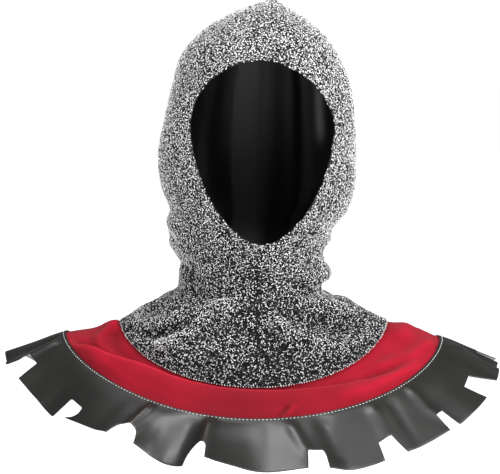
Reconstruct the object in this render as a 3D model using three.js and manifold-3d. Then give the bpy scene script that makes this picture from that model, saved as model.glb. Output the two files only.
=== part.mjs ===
// A knight's hood for dressing up: a glitter-knit coif of two panels with a black lining,
// sewn to a red mantle that is edged with a dagged strip of imitation leather.
// Millimetres, +Z up, the face looks towards -Y and the wearer's left shoulder is at +X.
// The origin is the point inside the crown that rests on the top of the wearer's head.
import * as THREE from "three";
import { mergeVertices } from "three/addons/utils/BufferGeometryUtils.js";
import Module from "manifold-3d";

const wasm = await Module();
wasm.setup();

// Cloth thicknesses and the clearance between layers that are sewn together
const knitWall = 1.8;
const liningWall = 1.0;
const mantleWall = 1.5;
const trimWall = 1.3;
const layerGap = 0.5;

// The hood over the head, with its pointed crown that stands a little above the seat
const peakRise = 3.3;
const headWidth = 198;
const headDepth = 214;
const neckDrop = 287;
const neckWidth = 148;
const neckDepth = 146;

// The knit bib below the neck
const bibWidth = 268;
const bibDepth = 216;
const bibSideDrop = 33;
const bibFrontDrop = 84;
const bibBackDrop = 70;

// The mantle and the strip beyond its edge, measured along the cloth, with the slopes at
// which they fall away in degrees. takenUp is the share of the mantle that its roll uses.
const mantleBand = 64;
const mantleSlope = { side: 15, front: 28, back: 32 };
const takenUp = { side: 0.02, front: 0.12, back: 0.1 };
const trimBand = 59;
const trimSlope = { side: 25, front: 42, back: 45 };
const kneeSoftness = 0.22;

// How far the mantle and the strip are drawn in over the right breast, as added shares
const pullIn = { mantle: 0.05, trim: 0.05 };

// The opening for the face
const faceWidth = 138;
const faceHeight = 176;
const faceDrop = 60;
const faceShift = 5;
const faceWidestShare = 0.36;
const liningSetBack = 9;

// The pointed curve of the chin and of the brow on one side, as powers of the height and of
// the width. The brow on the other side is a plain quarter of an ellipse.
const pointedRise = 1.7;
const pointedWidth = 0.57;

// The lapped seams
const knitLap = 9;
const trimLap = 7;
const centreSeamGap = 0.4;

// The notches that cut the strip into dags
const notchWidth = 17;
const notchDepth = 25;
const backNotches = 8;

// How finely the cloth is faceted
const knitColumns = 52;
const liningColumns = 32;
const mantleColumns = 72;
const trimColumns = 84;
const faceQuarterSteps = 13;
const nearestColumns = 1.2;

// Sections of the hood from the crown to the neck. drop is a share of neckDrop, left, right
// and shift are shares of half the head's width, and front and back of half its depth.
const headSections = [
  { drop: 0.0, left: 0.0, right: 0.0, front: 0.0, back: 0.0, shift: 0.15 },
  { drop: 0.012, left: 0.15, right: 0.11, front: 0.17, back: 0.19, shift: 0.14 },
  { drop: 0.035, left: 0.36, right: 0.27, front: 0.37, back: 0.42, shift: 0.12 },
  { drop: 0.074, left: 0.52, right: 0.43, front: 0.53, back: 0.59, shift: 0.1 },
  { drop: 0.13, left: 0.68, right: 0.62, front: 0.67, back: 0.76, shift: 0.07 },
  { drop: 0.2, left: 0.81, right: 0.78, front: 0.78, back: 0.9, shift: 0.04 },
  { drop: 0.29, left: 0.88, right: 0.92, front: 0.87, back: 1.01, shift: 0.02 },
  { drop: 0.4, left: 0.94, right: 0.98, front: 0.92, back: 1.08, shift: 0.0 },
  { drop: 0.53, left: 1.01, right: 1.0, front: 0.94, back: 1.09, shift: 0.0 },
  { drop: 0.645, left: 0.98, right: 0.99, front: 0.93, back: 1.02, shift: 0.0 },
  { drop: 0.725, left: 0.89, right: 0.92, front: 0.91, back: 0.93, shift: 0.0 },
  { drop: 0.79, left: 0.91, right: 0.77, front: 0.87, back: 0.84, shift: 0.0 },
  { drop: 0.85, left: 0.87, right: 0.71, front: 0.81, back: 0.75, shift: 0.0 },
  { drop: 0.905, left: 0.79, right: 0.68, front: 0.75, back: 0.69, shift: 0.0 },
  { drop: 0.95, left: 0.78, right: 0.73, front: 0.72, back: 0.67, shift: 0.0 },
];

// Sections from the neck to the edge of the knit bib. out is how far the section has come
// from the neck's width and depth to the bib's, and the drops are shares of the bib's own.
const bibSections = [
  { out: 0.06, outLeft: 0.1, outRight: -0.08, side: 0.0, front: 0.0, back: 0.0 },
  { out: 0.2, outLeft: 0.38, outRight: 0.2, side: 0.16, front: 0.17, back: 0.18 },
  { out: 0.53, outLeft: 0.67, outRight: 0.5, side: 0.55, front: 0.56, back: 0.56 },
  { out: 1.0, outLeft: 1.05, outRight: 0.93, side: 1.0, front: 1.0, back: 1.0 },
];

// Soft folds of the bib. Each runs from one place to another: an angle in degrees round from
// the middle of the front, and a reach from the neck (0) to the bib's edge (1). height and
// width are shares of the bib's front drop; a negative height is a hollow. The folds fade out
// over bibFoldFade at both ends of the bib.
const bibFoldFade = 18;
const bibFolds = [
  { fromAngle: -26, fromReach: 0.26, toAngle: -78, toReach: 0.7, height: 0.06, width: 0.2 },
  { fromAngle: -16, fromReach: 0.6, toAngle: -58, toReach: 0.85, height: 0.06, width: 0.18 },
  { fromAngle: 12, fromReach: 0.45, toAngle: 52, toReach: 0.8, height: 0.06, width: 0.2 },
  { fromAngle: 34, fromReach: 0.3, toAngle: 74, toReach: 0.5, height: -0.035, width: 0.26 },
  { fromAngle: 150, fromReach: 0.3, toAngle: 118, toReach: 0.8, height: 0.06, width: 0.2 },
  { fromAngle: -146, fromReach: 0.3, toAngle: -120, toReach: 0.8, height: 0.06, width: 0.2 },
];

// The roll along the red mantle: its crest at each angle, with the reach from the bib's edge
// (0) to the strip (1), and its height and width as shares of the band.
const rollWidth = 0.22;
const rollFade = 0.2;
const rollCrest = [
  { angle: -96, reach: 0.95, height: 0.03 },
  { angle: -76, reach: 0.74, height: 0.1 },
  { angle: -52, reach: 0.56, height: 0.13 },
  { angle: -24, reach: 0.45, height: 0.13 },
  { angle: 8, reach: 0.42, height: 0.11 },
  { angle: 36, reach: 0.46, height: 0.09 },
  { angle: 60, reach: 0.52, height: 0.05 },
  { angle: 90, reach: 0.5, height: 0.02 },
  { angle: 140, reach: 0.45, height: 0.08 },
  { angle: 190, reach: 0.5, height: 0.09 },
  { angle: 232, reach: 0.6, height: 0.07 },
  { angle: 264, reach: 0.95, height: 0.03 },
];

// Flutes of the strip: an angle, a height at the hem as a share of the strip's width, where
// a negative one is a hollow, and a half width in degrees. They grow from the seam to the hem
// by the given power.
const fluteGrowth = 1.15;
const flutes = [
  { angle: -97, height: 0.14, width: 5 },
  { angle: -87, height: -0.1, width: 5 },
  { angle: -76, height: 0.1, width: 7 },
  { angle: -40, height: -0.08, width: 9 },
  { angle: -27, height: 0.2, width: 5 },
  { angle: -20, height: -0.04, width: 4 },
  { angle: -13, height: -0.16, width: 4 },
  { angle: -1, height: 0.14, width: 8 },
  { angle: 14, height: -0.17, width: 5 },
  { angle: 23, height: 0.15, width: 5 },
  { angle: 32, height: -0.14, width: 4 },
  { angle: 41, height: 0.14, width: 5 },
  { angle: 53, height: -0.08, width: 6 },
  { angle: 78, height: 0.1, width: 6 },
  { angle: 88, height: -0.1, width: 5 },
  { angle: 97, height: 0.13, width: 5 },
  { angle: 116, height: -0.12, width: 7 },
  { angle: 133, height: 0.15, width: 7 },
  { angle: 150, height: -0.13, width: 6 },
  { angle: 166, height: 0.15, width: 6 },
  { angle: 180, height: -0.14, width: 6 },
  { angle: 194, height: 0.15, width: 6 },
  { angle: 210, height: -0.13, width: 6 },
  { angle: 227, height: 0.15, width: 7 },
  { angle: 244, height: -0.12, width: 7 },
];

// The notches that show from the front, as angles; the rest are spaced evenly behind.
const frontNotches = [-77, -53, -33.5, -13.8, 13.8, 32, 50, 64.5, 84];

// Corners of a solid that lie nearer than this are one corner
const weldDistance = 0.001;

const radians = THREE.MathUtils.degToRad;
const lerp = THREE.MathUtils.lerp;
const clamp = THREE.MathUtils.clamp;

// A bell curve that is 1 where x is 0 and fades over the given width.
function bell(x, width) {
  return Math.exp(-((x / width) ** 2));
}

// The shortest way round from one angle to another, in degrees.
function angleBetween(from, to) {
  return THREE.MathUtils.euclideanModulo(to - from + 180, 360) - 180;
}

// One section of the hood in millimetres, from a row of the head's table.
function headSection(row) {
  const z = crownLift - row.drop * neckDrop;
  return {
    left: (row.left * headWidth) / 2,
    right: (row.right * headWidth) / 2,
    front: (row.front * headDepth) / 2,
    back: (row.back * headDepth) / 2,
    shift: (row.shift * headWidth) / 2,
    pull: 0,
    sideZ: z,
    frontZ: z,
    backZ: z,
  };
}

// One section of the bib in millimetres.
function bibSection(row) {
  const z = crownLift - neckDrop;
  return {
    left: lerp(neckWidth, bibWidth, row.outLeft) / 2,
    right: lerp(neckWidth, bibWidth, row.outRight) / 2,
    front: lerp(neckDepth, bibDepth, row.out) / 2,
    back: lerp(neckDepth, bibDepth, row.out) / 2,
    shift: 0,
    pull: 0,
    sideZ: z - row.side * bibSideDrop,
    frontZ: z - row.front * bibFrontDrop,
    backZ: z - row.back * bibBackDrop,
  };
}

// The section that lies a length of cloth beyond another, at the slopes given in degrees.
// lost holds the share of that length that folds use up on each side, and pull is the share
// by which the cloth is drawn in further over the right breast.
function sectionBeyond(section, length, slope, lost, pull) {
  const out = (side) => length * (1 - lost[side]) * Math.cos(radians(slope[side]));
  const down = (side) => length * (1 - lost[side]) * Math.sin(radians(slope[side]));
  return {
    left: section.left + out("side"),
    right: section.right + out("side"),
    front: section.front + out("front"),
    back: section.back + out("back"),
    shift: section.shift,
    pull: section.pull + pull,
    sideZ: section.sideZ - down("side"),
    frontZ: section.frontZ - down("front"),
    backZ: section.backZ - down("back"),
  };
}

// The middle of the knit's cloth lies this far above the origin at the tip of the crown
const crownLift = peakRise + liningWall + layerGap + knitWall / 2;
const sections = [...headSections.map(headSection), ...bibSections.map(bibSection)];
const neckRow = headSections.length;
const bibEdgeRow = sections.length - 1;
for (let half = 0; half < 2; half++) {
  const pull = pullIn.mantle / 2;
  sections.push(sectionBeyond(sections.at(-1), mantleBand / 2, mantleSlope, takenUp, pull));
}
const mantleEdgeRow = sections.length - 1;
const nothing = { side: 0, front: 0, back: 0 };
for (let half = 0; half < 2; half++) {
  const pull = pullIn.trim / 2;
  sections.push(sectionBeyond(sections.at(-1), trimBand / 2, trimSlope, nothing, pull));
}

// How far along the cloth each section lies from the crown, as a mean of its four sides.
function clothBetween(a, b) {
  const side = Math.hypot((b.left + b.right - a.left - a.right) / 2, b.sideZ - a.sideZ);
  const front = Math.hypot(b.front - a.front, b.frontZ - a.frontZ);
  const back = Math.hypot(b.back - a.back, b.backZ - a.backZ);
  return (2 * side + front + back) / 4;
}
const along = [0];
for (let k = 1; k < sections.length; k++) {
  along.push(along[k - 1] + clothBetween(sections[k - 1], sections[k]));
}
const neckLine = along[neckRow];
const bibEdge = along[bibEdgeRow];
const mantleEdge = along[mantleEdgeRow];
const hem = along.at(-1);

// The section at any distance along the cloth, on a smooth curve through the sections.
function sectionAt(distance) {
  const last = sections.length - 1;
  let k = 0;
  while (k < last - 1 && distance > along[k + 1]) k++;
  const span = along[k + 1] - along[k];
  const t = (distance - along[k]) / span;
  const section = {};
  for (const key of Object.keys(sections[0])) {
    const before = Math.max(k - 1, 0);
    const after = Math.min(k + 2, last);
    const a = sections[k][key];
    const b = sections[k + 1][key];
    const slopeA = (b - sections[before][key]) / (along[k + 1] - along[before]);
    const slopeB = (sections[after][key] - a) / (along[after] - along[k]);
    const h = t * t * (3 - 2 * t);
    section[key] =
      a + (b - a) * h + span * (slopeA * t * (1 - t) ** 2 - slopeB * t * t * (1 - t));
  }
  return section;
}

// A share that rises smoothly from 0 at the shoulder line to 1 at the middle of the front.
function knee(cosine) {
  const rise = Math.hypot(cosine, kneeSoftness) - kneeSoftness;
  return rise / (Math.hypot(1, kneeSoftness) - kneeSoftness);
}

// A point of the smooth cloth, before its folds.
function smoothPoint(angle, distance) {
  const section = sectionAt(distance);
  const sine = Math.sin(radians(angle));
  const cosine = Math.cos(radians(angle));
  const half = sine > 0 ? section.right : section.left;
  const depth = cosine > 0 ? section.front : section.back;
  const endZ = cosine > 0 ? section.frontZ : section.backZ;
  const overBreast = sine < 0 && cosine > 0 ? (2 * sine * cosine) ** 2 : 0;
  const drawn = 1 - section.pull * overBreast;
  return new THREE.Vector3(
    section.shift + half * sine * drawn,
    -depth * cosine,
    lerp(section.sideZ, endZ, knee(cosine) * drawn),
  );
}

// The outward direction of the smooth cloth, from points a small turn and a small step to
// either side. At the crown's tip, where every angle is one point, it is read just below.
function outward(angle, distance) {
  const turn = 0.5;
  const step = 0.5;
  const below = Math.max(distance, 2 * step);
  const across = smoothPoint(angle + turn, below).sub(smoothPoint(angle - turn, below));
  const down = smoothPoint(angle, below + step).sub(smoothPoint(angle, below - step));
  return down.cross(across).normalize();
}

// How far a soft fold of the bib lifts the cloth.
function bibFoldLift(fold, angle, distance) {
  const section = sectionAt(distance);
  const radius = (section.left + section.right + section.front + section.back) / 4;
  const place = (fromAngle, reach) => [
    radians(angleBetween(angle, fromAngle)) * radius,
    lerp(neckLine, bibEdge, reach) - distance,
  ];
  const [x0, y0] = place(fold.fromAngle, fold.fromReach);
  const [x1, y1] = place(fold.toAngle, fold.toReach);
  const length = Math.hypot(x1 - x0, y1 - y0);
  const share = clamp(-(x0 * (x1 - x0) + y0 * (y1 - y0)) / length ** 2, 0, 1);
  const away = Math.hypot(lerp(x0, x1, share), lerp(y0, y1, share));
  return fold.height * bibFrontDrop * bell(away, fold.width * bibFrontDrop);
}

// The crest of the mantle's roll at any angle.
function crestAt(angle) {
  const first = rollCrest[0].angle;
  const turned = first + THREE.MathUtils.euclideanModulo(angle - first, 360);
  let k = 0;
  while (k < rollCrest.length - 2 && turned > rollCrest[k + 1].angle) k++;
  const a = rollCrest[k];
  const b = rollCrest[k + 1];
  const t = THREE.MathUtils.smoothstep(turned, a.angle, b.angle);
  return { reach: lerp(a.reach, b.reach, t), height: lerp(a.height, b.height, t) };
}

// How far the mantle's roll lifts the cloth. It fades out at both seams.
function rollLift(angle, distance) {
  const reach = (distance - bibEdge) / (mantleEdge - bibEdge);
  if (reach <= 0 || reach >= 1) return 0;
  const crest = crestAt(angle);
  const fade = Math.min(1, reach / rollFade, (1 - reach) / rollFade);
  return crest.height * mantleBand * bell(reach - crest.reach, rollWidth) * fade;
}

// How far the flutes lift the strip.
function fluteLift(angle, distance) {
  const reach = (distance - mantleEdge) / (hem - mantleEdge);
  if (reach <= 0) return 0;
  const wave = flutes.reduce(
    (sum, row) => sum + row.height * bell(angleBetween(angle, row.angle), row.width),
    0,
  );
  return wave * trimBand * reach ** fluteGrowth;
}

// How far all the folds lift the cloth at one place. The bib lies flat where it meets the
// lining at the neck and where it is sewn to the mantle.
function foldLift(angle, distance) {
  const bib = bibFolds.reduce((sum, fold) => sum + bibFoldLift(fold, angle, distance), 0);
  const flatEnd = bibEdge - knitLap;
  const start = THREE.MathUtils.smoothstep(distance, neckLine, neckLine + bibFoldFade);
  const end = THREE.MathUtils.smoothstep(distance, flatEnd - bibFoldFade, flatEnd);
  return bib * start * (1 - end) + rollLift(angle, distance) + fluteLift(angle, distance);
}

// A point at a height above the middle of the knit's cloth.
function clothPoint(angle, distance, height) {
  const lift = height + foldLift(angle, distance);
  return smoothPoint(angle, distance).addScaledVector(outward(angle, distance), lift);
}

// Evenly spaced distances between the given stops, each stretch with its own number of steps.
function distancesThrough(stops, steps) {
  const list = [stops[0]];
  steps.forEach((count, k) => {
    for (let i = 1; i <= count; i++) list.push(lerp(stops[k], stops[k + 1], i / count));
  });
  return list;
}

// Evenly spaced angles round the garment.
function anglesRound(columns) {
  return Array.from({ length: columns }, (_, i) => (i * 360) / columns - 180);
}

// A closed sheet of cloth, wall thick, that runs right round the garment. height is that of
// its middle, and present says which of its cells are cloth.
function sheet(angles, distances, height, wall, present = () => true) {
  const count = angles.length;
  const rows = distances.length;
  const closedTop = distances[0] === 0;
  const position = [];
  for (const side of [0.5, -0.5]) {
    for (const distance of distances) {
      for (const angle of angles) {
        const place = closedTop && distance === 0 ? angles[0] : angle;
        position.push(...clothPoint(place, distance, height + side * wall).toArray());
      }
    }
  }
  const index = [];
  const at = (layer, row, column) =>
    (layer * rows + row) * count + (closedTop && row === 0 ? 0 : column % count);
  const quad = (a, b, c, d) => {
    if (a !== b) index.push(a, b, c);
    if (c !== d) index.push(a, c, d);
  };
  const isCloth = (row, column) =>
    row >= 0 && row < rows - 1 && present(row, (column + count) % count);
  for (let row = 0; row < rows - 1; row++) {
    for (let i = 0; i < count; i++) {
      if (!isCloth(row, i)) continue;
      quad(at(0, row, i), at(0, row + 1, i), at(0, row + 1, i + 1), at(0, row, i + 1));
      quad(at(1, row, i), at(1, row, i + 1), at(1, row + 1, i + 1), at(1, row + 1, i));
      if (!isCloth(row - 1, i) && !(closedTop && row === 0)) {
        quad(at(0, row, i), at(0, row, i + 1), at(1, row, i + 1), at(1, row, i));
      }
      if (!isCloth(row + 1, i)) {
        quad(at(0, row + 1, i), at(1, row + 1, i), at(1, row + 1, i + 1), at(0, row + 1, i + 1));
      }
      if (!isCloth(row, i - 1)) {
        quad(at(0, row, i), at(1, row, i), at(1, row + 1, i), at(0, row + 1, i));
      }
      if (!isCloth(row, i + 1)) {
        quad(at(0, row, i + 1), at(0, row + 1, i + 1), at(1, row + 1, i + 1), at(1, row, i + 1));
      }
    }
  }
  const geometry = new THREE.BufferGeometry();
  geometry.setAttribute("position", new THREE.Float32BufferAttribute(position, 3));
  geometry.setIndex(index);
  return geometry;
}

// A geometry as a solid that can be cut.
function toSolid(geometry) {
  const bare = new THREE.BufferGeometry();
  bare.setAttribute("position", geometry.getAttribute("position"));
  bare.setIndex(geometry.index);
  const merged = mergeVertices(bare, weldDistance);
  return new wasm.Manifold(
    new wasm.Mesh({
      numProp: 3,
      vertProperties: new Float32Array(merged.getAttribute("position").array),
      triVerts: new Uint32Array(merged.index.array),
    }),
  );
}

// A solid's surface as a geometry.
function toGeometry(solid) {
  const surface = solid.getMesh();
  const geometry = new THREE.BufferGeometry();
  geometry.setAttribute("position", new THREE.BufferAttribute(surface.vertProperties, 3));
  geometry.setIndex(new THREE.BufferAttribute(surface.triVerts, 1));
  return geometry;
}

// Half the width of the face opening at a height s above or below its widest line, as a
// share. The pointed form is the flatter curve of the chin and of the brow on one side.
function eggHalf(s, pointed) {
  return pointed ? (1 - s ** pointedRise) ** pointedWidth : Math.sqrt(1 - s * s);
}

// The prism that cuts the face opening, grown on every side by a margin.
function facePrism(margin) {
  const steps = faceQuarterSteps;
  const half = faceWidth / 2 + margin;
  const above = faceHeight * faceWidestShare + margin;
  const below = faceHeight * (1 - faceWidestShare) + margin;
  const widestZ = crownLift - faceDrop - faceHeight * faceWidestShare;
  const quarter = (sideways, upwards, height, pointed) =>
    Array.from({ length: steps }, (_, i) => {
      const s = Math.sin(((i / steps) * Math.PI) / 2);
      return new THREE.Vector2(
        faceShift + sideways * half * eggHalf(s, pointed),
        widestZ + upwards * s * height,
      );
    });
  const top = new THREE.Vector2(faceShift, widestZ + above);
  const bottom = new THREE.Vector2(faceShift, widestZ - below);
  const outline = new THREE.Shape([
    ...quarter(1, 1, above, true),
    top,
    ...quarter(-1, 1, above, false).reverse(),
    ...quarter(-1, -1, below, true).slice(1),
    bottom,
    ...quarter(1, -1, below, true).slice(1).reverse(),
  ]);
  const prism = new THREE.ExtrudeGeometry(outline, { depth: headDepth, bevelEnabled: false });
  return prism.rotateX(Math.PI / 2);
}

// The thin curtain between the two panels, which follows the centre seam over the crown.
function seamCurtain() {
  const reach = bibDepth * 2;
  const seam = sections.slice(0, bibEdgeRow + 1).map((s) => [s.shift, s.sideZ]);
  const top = [seam[0][0], seam[0][1] + headWidth / 2];
  const bottom = [0, crownLift - neckDrop - 2 * bibFrontDrop];
  const line = [top, ...seam, bottom];
  const edge = (side) => line.map(([x, z]) => new THREE.Vector2(x + (side * centreSeamGap) / 2, z));
  const strip = new THREE.Shape([...edge(1), ...edge(-1).reverse()]);
  const curtain = new THREE.ExtrudeGeometry(strip, { depth: reach, bevelEnabled: false });
  return curtain.rotateX(Math.PI / 2).translate(0, reach / 2, 0);
}

// The whole knit hood, cut by the face opening and parted along its centre seam.
function knitPanels() {
  const stops = [...along.slice(0, bibEdgeRow), bibEdge - knitLap, bibEdge];
  const steps = stops.slice(1).map((stop) => (stop > neckLine && stop < bibEdge ? 2 : 1));
  const whole = toSolid(sheet(anglesRound(knitColumns), distancesThrough(stops, steps), 0, knitWall));
  const open = whole.subtract(toSolid(facePrism(0)));
  return open.subtract(toSolid(seamCurtain())).decompose();
}

// The lining follows the inside of the knit and stops short of the face opening.
function liningSolid() {
  const height = -(knitWall / 2 + layerGap + liningWall / 2);
  const distances = along.slice(0, neckRow + 1);
  const whole = toSolid(sheet(anglesRound(liningColumns), distances, height, liningWall));
  return whole.subtract(toSolid(facePrism(liningSetBack)));
}

// The mantle is tucked under the knit at its inner edge and under the strip at its outer one.
const mantleHeight = -(knitWall / 2 + layerGap + mantleWall / 2);
function mantleGeometry() {
  const stops = [bibEdge - knitLap, bibEdge, mantleEdge - trimLap, mantleEdge];
  const distances = distancesThrough(stops, [1, 4, 1]);
  return sheet(anglesRound(mantleColumns), distances, mantleHeight, mantleWall);
}

// The strip is laid over the mantle's edge and cut into dags by the notches.
function trimGeometry() {
  const height = mantleHeight + mantleWall / 2 + layerGap + trimWall / 2;
  const notchTop = hem - notchDepth;
  const behind = angleBetween(frontNotches.at(-1), frontNotches[0] + 360);
  const gap = (behind < 0 ? behind + 360 : behind) / (backNotches + 1);
  const centres = [...frontNotches];
  for (let k = 1; k <= backNotches; k++) centres.push(frontNotches.at(-1) + k * gap);
  const hemSection = sectionAt(hem);
  const notches = centres.map((centre) => {
    const sine = Math.sin(radians(centre));
    const cosine = Math.cos(radians(centre));
    const half = sine > 0 ? hemSection.right : hemSection.left;
    const depth = cosine > 0 ? hemSection.front : hemSection.back;
    const perRadian = Math.hypot(half * cosine, depth * sine);
    return { centre, half: THREE.MathUtils.radToDeg(notchWidth / 2 / perRadian) };
  });
  const sides = notches.flatMap(({ centre, half }) => [centre - half, centre + half]);
  const turned = (angle) => THREE.MathUtils.euclideanModulo(angle + 180, 360);
  const between = anglesRound(trimColumns).filter((angle) =>
    sides.every((side) => Math.abs(angleBetween(angle, side)) > nearestColumns),
  );
  const angles = [...sides, ...between].sort((a, b) => turned(a) - turned(b));
  const distances = distancesThrough([mantleEdge - trimLap, mantleEdge, notchTop, hem], [1, 2, 1]);
  const inNotch = (column) => {
    const a = angles[column];
    const middle = a + angleBetween(a, angles[(column + 1) % angles.length]) / 2;
    return notches.some(({ centre, half }) => Math.abs(angleBetween(centre, middle)) < half);
  };
  const present = (row, column) => distances[row] < notchTop || !inNotch(column);
  return sheet(angles, distances, height, trimWall, present);
}

// A named piece in its own cloth, lit facet by facet.
function piece(name, geometry, material) {
  const flat = geometry.toNonIndexed();
  flat.computeVertexNormals();
  const mesh = new THREE.Mesh(flat, material);
  mesh.name = name;
  return mesh;
}

const glitterKnit = () =>
  new THREE.MeshStandardMaterial({ color: 0x77777a, roughness: 0.5, metalness: 0.35 });
const blackJersey = new THREE.MeshStandardMaterial({ color: 0x0b0b0c, roughness: 0.8 });
const redSatin = new THREE.MeshStandardMaterial({ color: 0xb0162c, roughness: 0.55 });
const greyLeather = new THREE.MeshStandardMaterial({ color: 0x2e2c2a, roughness: 0.4 });

const hood = new THREE.Group();
const middleX = (solid) => {
  const box = solid.boundingBox();
  return box.min[0] + box.max[0];
};
const panels = knitPanels().sort((a, b) => middleX(a) - middleX(b));
hood.add(piece("knit_panel_right", toGeometry(panels[0]), glitterKnit()));
hood.add(piece("knit_panel_left", toGeometry(panels[1]), glitterKnit()));
hood.add(piece("hood_lining", toGeometry(liningSolid()), blackJersey));
hood.add(piece("red_mantle", mantleGeometry(), redSatin));
hood.add(piece("dagged_trim", trimGeometry(), greyLeather));

export default hood;
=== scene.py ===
import math

import bpy
import numpy as np
from mathutils.geometry import delaunay_2d_cdt
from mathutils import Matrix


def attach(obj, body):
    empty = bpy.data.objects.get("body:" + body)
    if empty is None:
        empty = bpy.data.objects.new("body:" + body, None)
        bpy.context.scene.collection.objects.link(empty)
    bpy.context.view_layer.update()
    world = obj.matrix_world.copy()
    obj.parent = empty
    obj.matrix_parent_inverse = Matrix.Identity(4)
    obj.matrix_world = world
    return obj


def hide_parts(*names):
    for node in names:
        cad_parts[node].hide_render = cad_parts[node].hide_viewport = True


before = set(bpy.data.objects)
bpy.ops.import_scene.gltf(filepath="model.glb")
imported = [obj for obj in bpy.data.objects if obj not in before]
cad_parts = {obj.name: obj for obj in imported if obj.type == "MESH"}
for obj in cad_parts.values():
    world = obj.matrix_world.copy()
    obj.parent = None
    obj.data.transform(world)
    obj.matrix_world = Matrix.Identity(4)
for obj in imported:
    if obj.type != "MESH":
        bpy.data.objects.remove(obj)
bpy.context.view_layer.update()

# The coif is two panels of a thick knit, black yarn with silver lurex, cut to the side view of
# a head and sewn together over the crown and down the chest. It is stretched over the head,
# rucks up at the neck, and ends in a round bib. All its sizes are in millimetres.
head_width, head_depth, neck_drop = 198, 214, 287
neck_width, neck_depth = 148, 146
bib_width, bib_depth = 268, 216
bib_drop = {"side": 33, "front": 84, "back": 70}
knit_wall, lining_wall, layer_gap, peak_rise = 1.8, 1.0, 0.5, 3.3
crown_height = peak_rise + lining_wall + layer_gap + knit_wall / 2

# Rings round the head, from the crown to the neck: how far each lies below the crown as a
# share of neck_drop, and how far it reaches as shares of half the head's width and depth.
head_rings = [
    # drop, left, right, front, back, shift
    (0.0, 0.0, 0.0, 0.0, 0.0, 0.15),
    (0.012, 0.09, 0.09, 0.15, 0.17, 0.14),
    (0.035, 0.27, 0.21, 0.35, 0.40, 0.12),
    (0.074, 0.49, 0.41, 0.52, 0.58, 0.1),
    (0.13, 0.68, 0.62, 0.67, 0.76, 0.07),
    (0.2, 0.81, 0.78, 0.78, 0.9, 0.04),
    (0.29, 0.87, 0.91, 0.87, 1.01, 0.02),
    (0.4, 0.925, 0.975, 0.92, 1.08, 0.0),
    (0.53, 0.995, 0.99, 0.94, 1.09, 0.0),
    (0.645, 0.965, 0.98, 0.93, 1.02, 0.0),
    (0.725, 0.88, 0.91, 0.91, 0.93, 0.0),
    (0.79, 0.895, 0.76, 0.87, 0.84, 0.0),
    (0.85, 0.85, 0.695, 0.81, 0.75, 0.0),
    (0.905, 0.79, 0.68, 0.75, 0.69, 0.0),
    (0.95, 0.78, 0.73, 0.72, 0.67, 0.0),
]
# Rings from the neck to the bib's edge: how far out each lies between the neck's size and the
# bib's, and how far down as shares of the bib's drops.
bib_rings = [
    # out, out left, out right, side, front, back
    (0.06, 0.1, -0.08, 0.0, 0.0, 0.0),
    (0.2, 0.38, 0.2, 0.16, 0.17, 0.18),
    (0.53, 0.67, 0.5, 0.55, 0.56, 0.56),
    (1.0, 1.05, 0.93, 1.0, 1.0, 1.0),
]

# A ring is held as left, right, front, back, shift, pull, side height, front height, back height.
rings = []
for drop, left, right, front, back, shift in head_rings:
    z = crown_height - drop * neck_drop
    half_width, half_depth = head_width / 2, head_depth / 2
    rings.append([left * half_width, right * half_width, front * half_depth, back * half_depth,
                  shift * half_width, 0, z, z, z])
neck_ring = len(rings)
for out, out_left, out_right, side, front, back in bib_rings:
    z = crown_height - neck_drop
    depth = neck_depth + (bib_depth - neck_depth) * out
    rings.append([(neck_width + (bib_width - neck_width) * out_left) / 2,
                  (neck_width + (bib_width - neck_width) * out_right) / 2,
                  depth / 2, depth / 2, 0, 0,
                  z - side * bib_drop["side"], z - front * bib_drop["front"], z - back * bib_drop["back"]])
bib_ring = len(rings) - 1


def ring_beyond(ring, length, slope, taken_up, pull):
    """The ring that lies a length of cloth further out, where the cloth falls away at the slopes."""
    out = {side: length * (1 - taken_up[side]) * math.cos(math.radians(slope[side])) for side in slope}
    down = {side: length * (1 - taken_up[side]) * math.sin(math.radians(slope[side])) for side in slope}
    left, right, front, back, shift, pulled, side_z, front_z, back_z = ring
    return [left + out["side"], right + out["side"], front + out["front"], back + out["back"], shift,
            pulled + pull, side_z - down["side"], front_z - down["front"], back_z - down["back"]]


# The mantle and the strip carry the form on beyond the bib.
mantle_band, mantle_slope = 64, {"side": 15, "front": 28, "back": 32}
trim_band, trim_slope = 59, {"side": 25, "front": 42, "back": 45}
roll_share = {"side": 0.02, "front": 0.12, "back": 0.1}
none_taken = {"side": 0, "front": 0, "back": 0}
pull_step = 0.025
for half in range(2):
    rings.append(ring_beyond(rings[-1], mantle_band / 2, mantle_slope, roll_share, pull_step))
mantle_ring = len(rings) - 1
for half in range(2):
    rings.append(ring_beyond(rings[-1], trim_band / 2, trim_slope, none_taken, pull_step))
rings = np.array(rings)
steps_side = np.hypot(np.diff(rings[:, 0] + rings[:, 1]) / 2, np.diff(rings[:, 6]))
steps_front = np.hypot(np.diff(rings[:, 2]), np.diff(rings[:, 7]))
steps_back = np.hypot(np.diff(rings[:, 3]), np.diff(rings[:, 8]))
along = np.concatenate([[0], np.cumsum((2 * steps_side + steps_front + steps_back) / 4)])
neck_line, bib_edge, mantle_edge, hem = along[neck_ring], along[bib_ring], along[mantle_ring], along[-1]


def curve_through(stops, rows, place):
    """Rows of values held at stops, read at a place on a smooth curve through them."""
    k = np.clip(np.searchsorted(stops, place, side="right") - 1, 0, len(stops) - 2)
    before, after = np.maximum(k - 1, 0), np.minimum(k + 2, len(stops) - 1)
    span = (stops[k + 1] - stops[k])[..., None]
    t = (place - stops[k])[..., None] / span
    a, b = rows[k], rows[k + 1]
    slope_a = (b - rows[before]) / (stops[k + 1] - stops[before])[..., None]
    slope_b = (rows[after] - a) / (stops[after] - stops[k])[..., None]
    passed = t * t * (3 - 2 * t)
    return a + (b - a) * passed + span * (slope_a * t * (1 - t) ** 2 - slope_b * t * t * (1 - t))


def ring_at(distance):
    """The ring at each distance along the cloth from the crown."""
    return curve_through(along, rings, np.asarray(distance, float))


knee_softness = 0.22


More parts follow.
